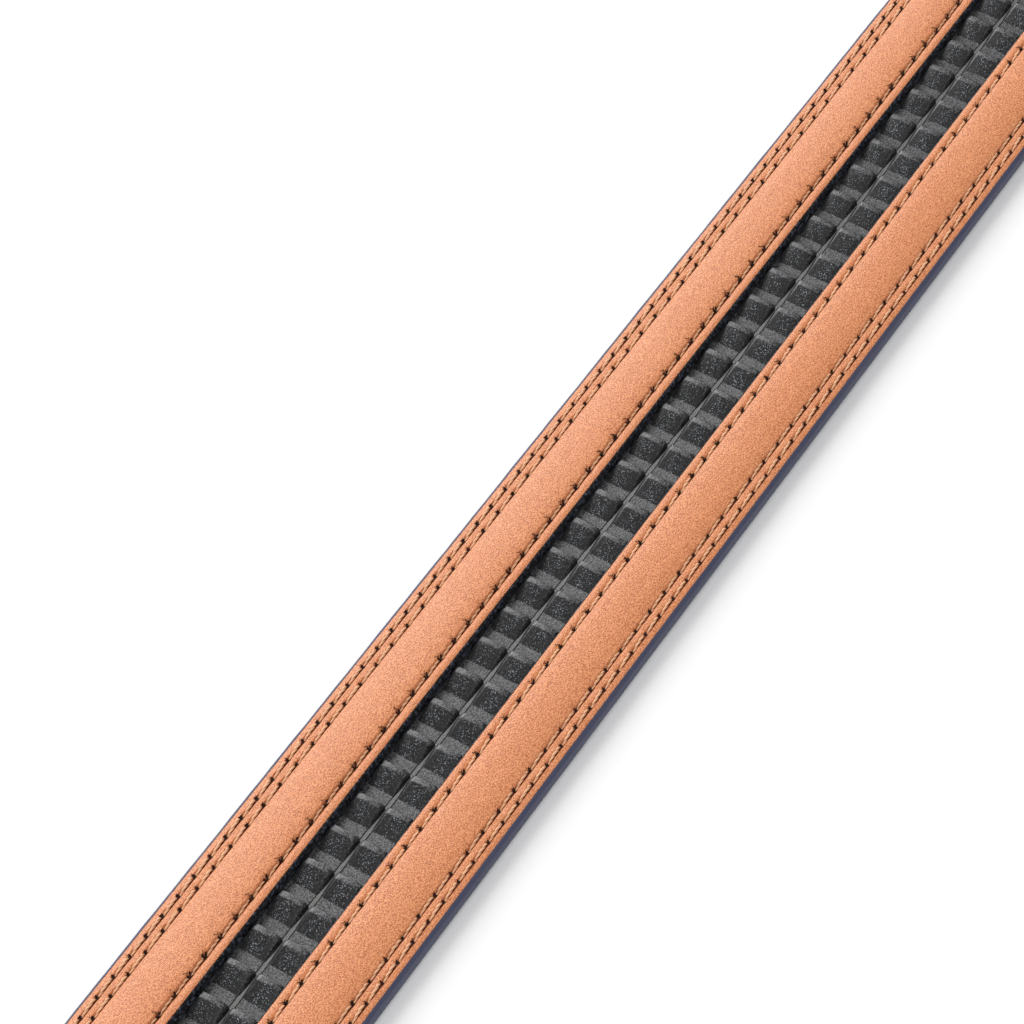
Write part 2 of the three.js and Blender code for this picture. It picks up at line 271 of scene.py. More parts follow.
def moulded_plastic():
    """Injection-moulded plastic from a grained mould: charcoal, with painted shade on its ramps and steep
    faces, painted glints as pale specks on the ramps, and a painted sheen on the rib.
    """
    material, tree, shader, place = new_material("moulded_charcoal_plastic")
    # a spark-eroded mould leaves a grain of about 0.05 mm, drawn at 0.22 mm so that it shows
    grain = add_node(
        tree, "ShaderNodeTexNoise",
        {"Vector": place, "Scale": pattern_scale(0.22), "Detail": 2.0, "Roughness": 0.6},
    )
    mottle = add_node(
        tree, "ShaderNodeMapRange",
        {"Value": grain.outputs["Fac"], "From Min": 0.4, "From Max": 0.66},
    )
    shade = add_node(
        tree, "ShaderNodeMix",
        {"Factor": mottle.outputs["Result"], "A": srgb("#060607"), "B": srgb("#78787a")},
        data_type="RGBA",
    )
    # the ramps, which face the tip, get painted shade and carry the painted glints
    surface = add_node(tree, "ShaderNodeNewGeometry")
    facing = add_node(tree, "ShaderNodeSeparateXYZ", {"Vector": surface.outputs["Normal"]})
    on_ramp = add_node(
        tree, "ShaderNodeMapRange",
        {"Value": facing.outputs["X"], "From Min": -0.2, "From Max": -0.3, "To Min": 0.25, "To Max": 0.9},
    )
    # the painted glints thin out towards both ends of a tooth
    across = add_node(tree, "ShaderNodeSeparateXYZ", {"Vector": place})
    off_centre = add_node(
        tree, "ShaderNodeMath", {0: across.outputs["Y"]}, operation="ABSOLUTE",
    )
    from_row = add_node(
        tree, "ShaderNodeMath", {0: off_centre.outputs[0], 1: ROW_CENTRE * MM}, operation="SUBTRACT",
    )
    off_row = add_node(tree, "ShaderNodeMath", {0: from_row.outputs[0]}, operation="ABSOLUTE")
    in_row = add_node(
        tree, "ShaderNodeMapRange",
        {"Value": off_row.outputs[0], "From Min": 0.5 * MM, "From Max": 1.7 * MM,
         "To Min": 1.0, "To Max": 0.15},
    )
    # painted shade: the ramps are darkened nearly to black
    ramps_painted_shade = add_node(
        tree, "ShaderNodeMix",
        {"Factor": on_ramp.outputs["Result"], "A": shade.outputs["Result"], "B": srgb("#09090b")},
        data_type="RGBA",
    )
    # painted glints: single sparkling grains, about 0.05 mm, drawn at 0.17 mm as pale specks in the colour
    specks = add_node(
        tree, "ShaderNodeTexNoise",
        {"Vector": place, "Scale": pattern_scale(0.17), "Detail": 0.0},
    )
    bright = add_node(
        tree, "ShaderNodeMapRange",
        {"Value": specks.outputs["Fac"], "From Min": 0.62, "From Max": 0.78},
    )
    on_ramps = add_node(
        tree, "ShaderNodeMath", {0: on_ramp.outputs["Result"], 1: bright.outputs["Result"]},
        operation="MULTIPLY",
    )
    amount = add_node(
        tree, "ShaderNodeMath", {0: on_ramps.outputs[0], 1: in_row.outputs["Result"]},
        operation="MULTIPLY",
    )
    with_painted_glints = add_node(
        tree, "ShaderNodeMix",
        {"Factor": amount.outputs[0], "A": ramps_painted_shade.outputs["Result"], "B": srgb("#a4a7ac")},
        data_type="RGBA",
    )
    # painted sheen: the rib's upward faces between the rows are painted paler and even
    on_rib = add_node(
        tree, "ShaderNodeMapRange",
        {"Value": off_centre.outputs[0], "From Min": RIB_HALF_WIDTH * MM,
         "From Max": (RIB_HALF_WIDTH - 0.06) * MM},
    )
    upright = add_node(
        tree, "ShaderNodeMapRange",
        {"Value": facing.outputs["Z"], "From Min": 0.85, "From Max": 0.95, "To Max": 0.8},
    )
    rib_sheen_share = add_node(
        tree, "ShaderNodeMath", {0: on_rib.outputs["Result"], 1: upright.outputs["Result"]},
        operation="MULTIPLY",
    )
    with_rib_sheen = add_node(
        tree, "ShaderNodeMix",
        {"Factor": rib_sheen_share.outputs[0], "A": with_painted_glints.outputs["Result"], "B": srgb("#656562")},
        data_type="RGBA",
    )
    # painted shade: the teeth's ends and backs, the steep faces, are darkened nearly to black
    steep = add_node(
        tree, "ShaderNodeMapRange",
        {"Value": facing.outputs["Z"], "From Min": 0.7, "From Max": 0.2, "To Max": 0.85},
    )
    with_flank_shade = add_node(
        tree, "ShaderNodeMix",
        {"Factor": steep.outputs["Result"], "A": with_rib_sheen.outputs["Result"], "B": srgb("#040405")},
        data_type="RGBA",
    )
    tree.links.new(with_flank_shade.outputs["Result"], shader.inputs["Base Color"])
    bump = add_node(
        tree, "ShaderNodeBump",
        {"Height": grain.outputs["Fac"], "Strength": 0.4, "Distance": 0.06 * MM},
    )
    tree.links.new(bump.outputs["Normal"], shader.inputs["Normal"])
    shader.inputs["Roughness"].default_value = 0.3
    return material


def waxed_thread():
    """Twisted polyester thread, waxed: two pale plies, with painted shade in the valleys between them."""
    material, tree, shader, place = new_material("waxed_tan_thread")
    # fibres are about 0.02 mm thick, drawn in bundles of 0.16 mm
    fibres = add_node(
        tree, "ShaderNodeTexNoise",
        {"Vector": place, "Scale": pattern_scale(0.16), "Detail": 2.0},
    )
    colour = add_node(
        tree, "ShaderNodeMix",
        {"Factor": fibres.outputs["Fac"], "A": srgb("#dc9c70"), "B": srgb("#fbcea4")},
        data_type="RGBA",
    )
    # painted shade: the valleys between the plies are darkened brown
    valley = add_node(tree, "ShaderNodeAttribute", attribute_name="valley")
    depth = add_node(
        tree, "ShaderNodeMapRange",
        {"Value": valley.outputs["Fac"], "From Min": 0.6, "From Max": 1.0, "To Max": 0.7},
    )
    plies_shaded = add_node(
        tree, "ShaderNodeMix",
        {"Factor": depth.outputs["Result"], "A": colour.outputs["Result"], "B": srgb("#7c3d1f")},
        data_type="RGBA",
    )
    tree.links.new(plies_shaded.outputs["Result"], shader.inputs["Base Color"])
    bump = add_node(
        tree, "ShaderNodeBump", {"Height": fibres.outputs["Fac"], "Strength": 0.5, "Distance": 0.05 * MM},
    )
    tree.links.new(bump.outputs["Normal"], shader.inputs["Normal"])
    shader.inputs["Roughness"].default_value = 0.5
    return material


def needle_hole_shade():
    """Painted shade for the inside of a needle hole: near black brown, mottled."""
    material, tree, shader, place = new_material("needle_hole_painted_shade")
    hole_mottle = add_node(tree, "ShaderNodeTexNoise", {"Vector": place, "Scale": pattern_scale(0.2)})
    colour = add_node(
        tree, "ShaderNodeMix",
        {"Factor": hole_mottle.outputs["Fac"], "A": srgb("#160803"), "B": srgb("#3a180b")},
        data_type="RGBA",
    )
    tree.links.new(colour.outputs["Result"], shader.inputs["Base Color"])
    shader.inputs["Roughness"].default_value = 0.9
    return material


def dark_leather():
    """Outer face of the belt: cowhide finished near black, fine pebble, half glossy."""
    material, tree, shader, place = new_material("dark_navy_cowhide")
    # printed pebble, 0.8 mm across
    pebble = add_node(
        tree, "ShaderNodeTexVoronoi", {"Vector": place, "Scale": pattern_scale(0.8), "Randomness": 1.0},
        feature="SMOOTH_F1",
    )
    colour = add_node(
        tree, "ShaderNodeMix",
        {"Factor": pebble.outputs["Distance"], "A": srgb("#1d1e2a"), "B": srgb("#2b2d3d")},
        data_type="RGBA",
    )
    tree.links.new(colour.outputs["Result"], shader.inputs["Base Color"])
    bump = add_node(
        tree, "ShaderNodeBump",
        {"Height": pebble.outputs["Distance"], "Strength": 0.5, "Distance": 0.08 * MM},
    )
    tree.links.new(bump.outputs["Normal"], shader.inputs["Normal"])
    shader.inputs["Roughness"].default_value = 0.4
    return material


def brushed_zinc():
    """Die-cast zinc alloy, brushed lengthways and plated dark: fine streaks, soft glints."""
    material, tree, shader, place = new_material("brushed_zinc_alloy")
    # scratches of a 0.03 mm grit, drawn 0.12 mm wide and fifty times as long
    stretched = add_node(tree, "ShaderNodeMapping", {"Vector": place, "Scale": (0.02, 1.0, 1.0)})
    brushing = add_node(
        tree, "ShaderNodeTexNoise",
        {"Vector": stretched.outputs["Vector"], "Scale": pattern_scale(0.12), "Detail": 3.0},
    )
    colour = add_node(
        tree, "ShaderNodeMix",
        {"Factor": brushing.outputs["Fac"], "A": srgb("#7c7f86"), "B": srgb("#9b9ea5")},
        data_type="RGBA",
    )
    tree.links.new(colour.outputs["Result"], shader.inputs["Base Color"])
    roughness = add_node(
        tree, "ShaderNodeMapRange",
        {"Value": brushing.outputs["Fac"], "To Min": 0.25, "To Max": 0.45},
    )
    tree.links.new(roughness.outputs["Result"], shader.inputs["Roughness"])
    bump = add_node(
        tree, "ShaderNodeBump",
        {"Height": brushing.outputs["Fac"], "Strength": 0.2, "Distance": 0.02 * MM},
    )
    tree.links.new(bump.outputs["Normal"], shader.inputs["Normal"])
    shader.inputs["Metallic"].default_value = 1.0
    return material


def pale_floor():
    """Matt white sweep that the belt lies on."""
    material, _, shader, _ = new_material("white_sweep")
    shader.inputs["Base Color"].default_value = srgb("#fbfbfb")
    shader.inputs["Roughness"].default_value = 0.9
    shader.inputs["Specular IOR Level"].default_value = 0.2
    return material


TAN = tan_leather()
PAINT = edge_paint()
SLOT_PAINT = shaded_slot_paint()
PLASTIC = moulded_plastic()
THREAD = waxed_thread()
HOLE = needle_hole_shade()
DARK = dark_leather()
METAL = brushed_zinc()
FLOOR = pale_floor()


# Meshes

def make_piece(name, points_mm, faces, materials, sharp_degrees=40):
    """A mesh object from points in millimetres, smooth but for edges sharper than the angle."""
    mesh = bpy.data.meshes.new(name)
    points = np.asarray(points_mm, dtype=float) * MM
    mesh.from_pydata(points.tolist(), [], faces)
    mesh.validate()
    for material in materials:
        mesh.materials.append(material)
    mesh.shade_smooth()
    mesh.set_sharp_from_angle(angle=math.radians(sharp_degrees))
    piece = bpy.data.objects.new(name, mesh)
    bpy.context.scene.collection.objects.link(piece)
    return piece


def lift_at(x):
    """Height of the strap's underside, which rises to the buckle's clamp in one bend."""
    t = np.clip((x - BEND_START_X) / BEND_LENGTH, 0, 1)
    return STRAP_LIFT * t ** 3 * (t * (6 * t - 15) + 10)


def smooth_noise(x, y, wavelength, seed):
    """A gentle, repeatable waviness between about -1 and 1."""
    k = 2 * math.pi / wavelength
    value = np.zeros(np.broadcast(x, y).shape)
    for n in range(5):
        turn = seed * 1.7 + n * 2.399
        u = x * math.cos(turn) + y * math.sin(turn)
        value = value + np.sin(k * (0.7 + 0.23 * n) * u + seed * 3.1 + n * n)
    return value / 3


# Stitch rows: each is a path of arc length, from which holes are spaced evenly

def slot_path(offset):
    """Closed path round the slot at this distance from its edge."""
    radius = SLOT_HALF_WIDTH + offset
    straight = SLOT_HALF_LENGTH - SLOT_HALF_WIDTH
    length = 4 * straight + 2 * math.pi * radius

    def at(s):
        s = s % length
        quarter = [2 * straight, math.pi * radius, 2 * straight, math.pi * radius]
        if s < quarter[0]:
            return TRACK_CENTRE_X - straight + s, -radius
        s -= quarter[0]
        if s < quarter[1]:
            a = s / radius - math.pi / 2
            return TRACK_CENTRE_X + straight + radius * math.cos(a), radius * math.sin(a)
        s -= quarter[1]
        if s < quarter[2]:
            return TRACK_CENTRE_X + straight - s, radius
        s -= quarter[2]
        a = s / radius + math.pi / 2
        return TRACK_CENTRE_X - straight + radius * math.cos(a), radius * math.sin(a)

    return at, length


def edge_path(inset):
    """Open path from the cut end round the tip and back, at this distance from the strap's edge."""
    radius = TIP_CORNER - inset
    side = CUT_X - TIP_X - TIP_CORNER
    nose = 2 * (HALF_WIDTH - TIP_CORNER)
    arc = math.pi / 2 * radius
    length = 2 * side + 2 * arc + nose
    y_side = HALF_WIDTH - inset

    def at(s):
        if s < side:
            return CUT_X - s, y_side
        s -= side
        if s < arc:
            a = math.pi / 2 + s / radius
            return TIP_X + TIP_CORNER + radius * math.cos(a), nose / 2 + radius * math.sin(a)
        s -= arc
        if s < nose:
            return TIP_X + inset, nose / 2 - s
        s -= nose
        if s < arc:
            a = math.pi + s / radius
            return TIP_X + TIP_CORNER + radius * math.cos(a), -nose / 2 + radius * math.sin(a)
        s -= arc
        return TIP_X + TIP_CORNER + s, -y_side

    return at, length


def holes_along(path, pitch, start, closed):
    """Needle holes on a path, one at each pitch from the start."""
    at, length = path
    count = int(round(length / pitch)) if closed else int((length - start) / pitch)
    step = length / count if closed else pitch
    points = np.array([at(start + step * i) for i in range(count)])
    return points


SLOT_HOLES = holes_along(slot_path(SLOT_ROW), SLOT_STITCH, 0.0, True)
FIRST_HOLES = holes_along(edge_path(FIRST_ROW), FIRST_STITCH, 1.0, False)
SECOND_HOLES = holes_along(edge_path(SECOND_ROW), SECOND_STITCH, 2.2, False)


# Inner leather

def slot_gap(x, y):
    """Distance from the slot's edge, below zero inside the slot."""
    beyond = np.maximum(np.abs(x - TRACK_CENTRE_X) - (SLOT_HALF_LENGTH - SLOT_HALF_WIDTH), 0)
    return np.hypot(beyond, y) - SLOT_HALF_WIDTH


def edge_gap(x, y):
    """Distance inwards from the strap's outline."""
    a = TIP_X + TIP_CORNER - x
    b = np.abs(y) - (HALF_WIDTH - TIP_CORNER)
    corner = TIP_CORNER - np.hypot(np.maximum(a, 0), np.maximum(b, 0))
    return np.where((a > 0) & (b > 0), corner, np.minimum(HALF_WIDTH - np.abs(y), x - TIP_X))


def relief(x, y):
    """Height of the inner leather's face on the flat, and the share of a groove's depth there."""
    d = np.maximum(slot_gap(x, y), 0)
    e = np.maximum(edge_gap(x, y), 0)
    reach = np.maximum(d + e, 1e-6)
    inward = np.clip(e / reach, 0, 1)
    z = SHOULDER + SLOT_SIDE_RISE * inward
    start = SLOT_ROW / reach
    end = 1 - SECOND_ROW / reach
    share = np.clip((d / reach - start) / np.maximum(end - start, 1e-6), 0, 1)
    fullness = np.sqrt(np.clip(share / SWELL_START_SHARE, 0, 1))
    z = z + SWELL_RISE * (1 - share ** SWELL_BLUNTNESS) * fullness
    z = z + LIP_RISE * np.exp(-((d - LIP_PLACE) / LIP_SPREAD) ** 2)
    middle = (FIRST_ROW + SECOND_ROW) / 2
    z = z + RIB_RISE * np.exp(-((e - middle) / RIB_SPREAD) ** 2)
    groove = np.zeros(np.broadcast(d, e).shape)
    for distance, row in ((d, SLOT_ROW), (e, FIRST_ROW), (e, SECOND_ROW)):
        off = np.abs(distance - row)
        groove = np.maximum(groove, np.exp(-(off / GROOVE_HALF_WIDTH) ** 4))
        z = z + BEAD_RISE * np.exp(-((off - BEAD_PLACE) / BEAD_SPREAD) ** 2)
    z = z - GROOVE_DEPTH * groove
    for distance, radius in ((d, LIP_ROUND), (e, EDGE_ROUND)):
        inside = np.clip(radius - distance, 0, radius)
        z = z - (radius - np.sqrt(radius ** 2 - inside ** 2))
    return z, groove


def hole_sink(r, angle, number):
    """Sink of the face round a needle hole, with small folds drawn towards it."""
    folds = 0.5 + 0.5 * np.cos(FOLD_COUNT * angle + number * 2.4)
    dimple = PUCKER_DEPTH * np.exp(-(r / PUCKER_SPREAD) ** 2)
    return dimple + FOLD_DEPTH * folds * np.exp(-(r / FOLD_SPREAD) ** 2)


def round_corner(x, y, corner_x, corner_y, reach):
    """Bends the square rings round a corner into arcs; the bend fades out at its reach."""
    a = np.maximum(x - corner_x, 0)
    b = np.maximum(y - corner_y, 0)
    ring = np.maximum(a, b)
    length = np.hypot(a, b)
    both = (a > 0) & (b > 0)
    scale = np.where(both, ring / np.maximum(length, 1e-9), 1.0)
    keep = np.clip((reach - ring) / (reach * 0.35), 0, 1) if reach else 1.0
    scale = 1 + (scale - 1) * keep
    return np.where(both, corner_x + a * scale, x), np.where(both, corner_y + b * scale, y)


def steps_between(start, end, step):
    """Even steps from start to end, of about this size."""
    count = max(1, int(round((end - start) / step)))
    return list(np.linspace(start, end, count + 1))


def inner_stations():
    """Where the inner leather's mesh has a row of points, along X: fine where the slot is."""
    slot_start = TRACK_CENTRE_X - SLOT_HALF_LENGTH
    slot_end = TRACK_CENTRE_X + SLOT_HALF_LENGTH
    rings = SLOT_LINES[1:]
    stations = [TIP_X + e for e in EDGE_LINES]
    stations += steps_between(stations[-1], slot_start - rings[-1], COARSE_STEP)[1:]
    stations += [slot_start - d for d in reversed(rings)][1:]
    stations += steps_between(slot_start, slot_end, FINE_STEP)
    stations += [slot_end + d for d in rings]
    stations += steps_between(stations[-1], BEND_START_X, COARSE_STEP)[1:]
    stations += steps_between(BEND_START_X, CUT_X, COARSE_STEP)[1:]
    return np.array(stations)


ROW_LINES = [-0.5, -0.4, -0.3, -0.22, -0.13, 0.0, 0.13, 0.22, 0.3, 0.4, 0.5]
SLOT_LINES = [0, 0.05, 0.15, 0.3, 0.5, 0.75, 1.05] + [SLOT_ROW + a for a in ROW_LINES[1:]]
EDGE_LINES = [0, 0.06, 0.18, 0.4, 0.7] + [FIRST_ROW + a for a in ROW_LINES[1:]]
EDGE_LINES += [(FIRST_ROW + SECOND_ROW) / 2 + 0.02] + [SECOND_ROW + a for a in ROW_LINES] + [4.0]
SWELL_LINES = [8.4, 10.2, 11.5, 12.3, 12.95]
CENTRE_LINES = [0.0, 1.0, 2.0, 3.0, 4.0]


def inner_lines():
    """Where that mesh has a line of points, along Y: close together in the stitch rows."""
    half = CENTRE_LINES + [SLOT_HALF_WIDTH + d for d in SLOT_LINES] + SWELL_LINES
    half += [HALF_WIDTH - e for e in reversed(EDGE_LINES)]
    return np.array([-y for y in reversed(half[1:])] + half)


def pucker(x, y):
    """Sink of the face from all the needle holes."""
    tree = kdtree.KDTree(len(ALL_HOLES))
    for i, (hole_x, hole_y) in enumerate(ALL_HOLES):
        tree.insert((hole_x, hole_y, 0), i)
    tree.balance()
    sink = np.zeros(x.size)
    flat_x, flat_y = x.ravel(), y.ravel()
    for i in np.nonzero(near_a_row(flat_x, flat_y))[0]:
        (hole_x, hole_y, _), n, r = tree.find((flat_x[i], flat_y[i], 0))
        if r < PUCKER_REACH:
            sink[i] = hole_sink(r, math.atan2(flat_y[i] - hole_y, flat_x[i] - hole_x), n)
    return sink.reshape(x.shape)


# Where points are close enough to a row to be tested: beside it, and round the slot's ends
NEAR_ROW = 1.2
NEAR_END_SIDE = 3
NEAR_END_BACK = 6
NEAR_END_AHEAD = 4


def near_a_row(x, y):
    """True for the points that a needle hole may pull down."""
    from_centre = np.abs(x - TRACK_CENTRE_X)
    low = np.abs(np.abs(y) - (SLOT_HALF_WIDTH + SLOT_ROW)) < NEAR_ROW
    high = np.abs(y) > HALF_WIDTH - SECOND_ROW - NEAR_ROW
    ends = (np.abs(y) < SLOT_HALF_WIDTH + NEAR_END_SIDE) & (from_centre > SLOT_HALF_LENGTH - NEAR_END_BACK)
    ends = ends & (from_centre < SLOT_HALF_LENGTH + NEAR_END_AHEAD)
    tip = x < TIP_X + SECOND_ROW + NEAR_ROW
    return low | high | ends | tip


ALL_HOLES = np.vstack([SLOT_HOLES, FIRST_HOLES, SECOND_HOLES])
SLOT_BEND_REACH = 12.0


def make_inner_leather():
    """The tan layer: its face in relief, the walls at its edges and slot, and a flat underside."""
    xs = inner_stations()
    ys = inner_lines()
    grid_x, grid_y = np.meshgrid(xs, ys, indexing="ij")

    # the slot's ends and the tip's corners are round
    side = np.where(grid_y < 0, -1.0, 1.0)
    along = np.where(grid_x < TRACK_CENTRE_X, -1.0, 1.0)
    u = (grid_x - TRACK_CENTRE_X) * along
    v = np.abs(grid_y)
    u, v = round_corner(u, v, SLOT_HALF_LENGTH - SLOT_HALF_WIDTH, 0.0, SLOT_BEND_REACH)
    x = TRACK_CENTRE_X + u * along
    y = v * side
    from_tip = TIP_X + TIP_CORNER - x
    u, v = round_corner(from_tip, np.abs(y), 0.0, HALF_WIDTH - TIP_CORNER, None)
    x = TIP_X + TIP_CORNER - u
    y = v * side

    slot_distance = slot_gap(x, y)
    z, groove = relief(x, y)
    z = z - pucker(x, y)
    from_an_edge = np.clip(np.minimum(slot_distance, edge_gap(x, y)) / WAVE_FADE, 0, 1)
    z = z + WAVE_HEIGHT * smooth_noise(x, y, WAVE_LENGTH, 1) * from_an_edge
    top = np.stack([x, y, z + lift_at(x)], axis=-1)
    rows, columns = x.shape
    index = np.arange(rows * columns).reshape(rows, columns)
    points = list(top.reshape(-1, 3))

    in_slot_row = (xs > TRACK_CENTRE_X - SLOT_HALF_LENGTH - 1e-6) & (
        xs < TRACK_CENTRE_X + SLOT_HALF_LENGTH + 1e-6)
    in_slot_column = np.abs(ys) < SLOT_HALF_WIDTH + 1e-6
    faces = []
    slots = []
    for i in range(rows - 1):
        cut_here = in_slot_row[i] and in_slot_row[i + 1]
        for j in range(columns - 1):
            if cut_here and in_slot_column[j] and in_slot_column[j + 1]:
                continue
            faces.append((index[i, j], index[i + 1, j], index[i + 1, j + 1], index[i, j + 1]))
            slots.append(0)

    # walls down to the underside, along every open border of the face
    below = {}

    def under(k):
        if k not in below:
            px, py, _ = points[k]
            below[k] = len(points)
            points.append(np.array([px, py, INNER_LOW_Z + float(lift_at(np.array(px)))]))
        return below[k]

    borders = {}
    for face in faces:
        for a, b in zip(face, face[1:] + face[:1]):
            if (b, a) in borders:
                del borders[(b, a)]
            else:
                borders[(a, b)] = True
    for a, b in list(borders):
        faces.append((b, a, under(a), under(b)))
        in_the_slot = slot_distance.ravel()[a] < 0.01
        slots.append(1 if in_the_slot else 2)

    # underside, one strip for each pair of stations
    left = columns - 1
    inner_right = int(np.nonzero(in_slot_column)[0][0])
    inner_left = int(np.nonzero(in_slot_column)[0][-1])
    for i in range(rows - 1):
        if in_slot_row[i] and in_slot_row[i + 1]:
            for first, last in ((0, inner_right), (inner_left, left)):
                corners = (index[i, first], index[i, last], index[i + 1, last], index[i + 1, first])
                faces.append(tuple(under(k) for k in corners))
                slots.append(0)
            continue
        near = [index[i, 0], index[i, left]]
        far = [index[i + 1, left], index[i + 1, 0]]
        if i == 0:
            near = list(index[0, :])
        elif in_slot_row[i]:
            near = [index[i, 0], *index[i, inner_right:inner_left + 1], index[i, left]]
        if i + 1 == rows - 1:
            far = list(index[i + 1, ::-1])
        elif in_slot_row[i + 1]:
            far = [index[i + 1, left], *index[i + 1, inner_left:inner_right - 1:-1], index[i + 1, 0]]
        faces.append(tuple(under(k) for k in near + far))
        slots.append(0)

    faces = [tuple(int(k) for k in face) for face in faces]
    piece = make_piece("inner_leather_skin", points, faces, [TAN, SLOT_PAINT, PAINT], 50)
    piece.data.polygons.foreach_set("material_index", slots)
    # share of painted shade in each stitch groove, from the groove's depth
    groove_shade = piece.data.attributes.new("groove_shade", "FLOAT", "POINT")
    depth = np.zeros(len(points))
    depth[:groove.size] = groove.ravel() ** 2
    groove_shade.data.foreach_set("value", depth)
    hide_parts("inner_leather")
    return piece


# Stitching

STITCH_SIDES = 10
STITCH_RINGS = 12
PLIES = 2
PLY_BULGE = 0.2
TWIST_LENGTH = 2.4
HOLE_MARGIN = 0.06
SLANT = 0.11
SLANT_WANDER = 0.05
HEIGHT_WANDER = 0.02

# A stitch dives at both ends: how deep, how much thinner, and over which share of its length
NEAR_DIP = 0.3
NEAR_THINNING = 0.35
NEAR_SHARE = 0.12
FAR_DIP = 0.34
FAR_THINNING = 0.3
FAR_START = 0.55


def make_stitching(name, hole_sets):
    """One thread stitch from each hole to the next, lying in its groove and diving at both ends."""
    ring_t = np.linspace(0, 1, STITCH_RINGS)
    side_a = np.linspace(0, 2 * math.pi, STITCH_SIDES, endpoint=False)
    points = []
    faces = []
    valleys = []
    number = 0
    for holes, closed in hole_sets:
        following = np.roll(holes, -1, axis=0) if closed else holes[1:]
        for start, end in zip(holes, following):
            number += 1
            if start[0] < end[0]:
                start, end = end, start
            span = end - start
            length = math.hypot(*span)
            along = span / length
            across = np.array([-along[1], along[0]])
            slant = SLANT + SLANT_WANDER * math.sin(number * 12.9898)
            centre = start + span * (HOLE_MARGIN + (1 - 2 * HOLE_MARGIN) * ring_t)[:, None]
            centre = centre + across * (slant * (2 * ring_t - 1))[:, None]
            centre[:, 1] += THREAD_LEAN
            face_z, _ = relief(start[0] + span[0] / 2, start[1] + span[1] / 2)
            near = np.clip(1 - ring_t / NEAR_SHARE, 0, 1) ** 2
            far = np.clip((ring_t - FAR_START) / (1 - FAR_START), 0, 1) ** 1.5
            height = face_z + THREAD_RADIUS * 0.95 - NEAR_DIP * near - FAR_DIP * far
            height = height + HEIGHT_WANDER * math.sin(number * 78.233) + lift_at(centre[:, 0])
            fullness = 1 - NEAR_THINNING * near - FAR_THINNING * far
            first = len(points)
            for r in range(STITCH_RINGS):
                turn = 2 * math.pi * ring_t[r] * length / TWIST_LENGTH + number * 1.3
                ply = np.cos(PLIES * (side_a - turn))
                radius = THREAD_RADIUS * fullness[r] * (1 + PLY_BULGE * ply)
                x = centre[r, 0] + across[0] * radius * np.cos(side_a)
                y = centre[r, 1] + across[1] * radius * np.cos(side_a)
                z = height[r] + radius * np.sin(side_a)
                points.extend(np.stack([x, y, z], axis=-1))
                # share of painted shade between the plies
                valleys.extend(0.5 - 0.5 * ply)
            for r in range(STITCH_RINGS - 1):
                for s in range(STITCH_SIDES):
                    a = first + r * STITCH_SIDES + s
                    b = first + r * STITCH_SIDES + (s + 1) % STITCH_SIDES
                    faces.append((a, b, b + STITCH_SIDES, a + STITCH_SIDES))
            last = first + (STITCH_RINGS - 1) * STITCH_SIDES
            faces.append(tuple(first + s for s in reversed(range(STITCH_SIDES))))
            faces.append(tuple(last + s for s in range(STITCH_SIDES)))
    piece = make_piece(name, points, faces, [THREAD], 80)
    valley = piece.data.attributes.new("valley", "FLOAT", "POINT")
    valley.data.foreach_set("value", valleys)
    return piece


# Arms of painted shade round a needle hole, one for each crease: direction from the row's far end, and
# length as a share
CREASES = [(15, 0.7), (70, 0.9), (118, 1.0), (165, 0.7), (235, 0.45), (310, 0.6)]
CREASE_REACH_BY_SLOT = 0.82
CREASE_REACH_BY_EDGE = 0.5
CREASE_SPREAD = 0.55
HOLE_RADIUS = 0.35
HOLE_RAISE = 0.1
HOLE_DEPTH = 0.3
EDGE_HOLE_SHARE = 0.85
SHUT_HOLE_SHARE = 0.62


def make_needle_hole_shades():
    """Painted shade: a dark star-shaped sheet laid just above the face at each needle hole, its arms
    standing for the shade in the short creases that run into it.
    """
    points = []
    faces = []
    for number, (hole_x, hole_y) in enumerate(ALL_HOLES):
        if number < len(SLOT_HOLES):
            reach = CREASE_REACH_BY_SLOT
            core = HOLE_RADIUS
        else:
            # a smaller patch of painted shade along the right edge
            reach = CREASE_REACH_BY_EDGE
            core = HOLE_RADIUS * (SHUT_HOLE_SHARE if hole_y < 0 else EDGE_HOLE_SHARE)
        ring = []
        for k, (degrees, share) in enumerate(CREASES):
            angle = math.radians(degrees + 14 * math.sin(number * 5.1 + k * 2.7))
            length = reach * share * (1 + 0.2 * math.sin(number * 3.3 + k * 4.1))
            following = CREASES[(k + 1) % len(CREASES)][0] + (360 if k + 1 == len(CREASES) else 0)
            between = math.radians((degrees + following) / 2)
            ring.append((angle - CREASE_SPREAD, core))
            ring.append((angle, max(length, core * 1.2)))
            ring.append((angle + CREASE_SPREAD, core))
            ring.append((between, core * 0.85))
        angle = np.array([a for a, _ in ring])
        radius = np.array([r for _, r in ring])
        lift = float(lift_at(np.array(hole_x)))
        middle_y = hole_y + THREAD_LEAN / 2
        x = hole_x + radius * np.cos(angle)
        y = middle_y + radius * np.sin(angle)
        r = np.hypot(x - hole_x, y - hole_y)
        face_z, _ = relief(x, y)
        z = face_z - hole_sink(r, angle, number) + HOLE_RAISE + lift
        rim_z = float(relief(np.array(hole_x), np.array(hole_y))[0]) + HOLE_RAISE + lift
        centre_z = rim_z - PUCKER_DEPTH
        first = len(points)
        count = len(ring)
        points.extend(np.stack([x, y, z], axis=-1))
        points.append((hole_x, middle_y, centre_z + 0.02))
        points.append((hole_x, middle_y, centre_z - HOLE_DEPTH))
        for i in range(count):
            j = (i + 1) % count
            faces.append((first + i, first + j, first + count))
            faces.append((first + j, first + i, first + count + 1))
    piece = make_piece("needle_hole_shades", points, faces, [HOLE], 60)
    return piece


# Painted edge

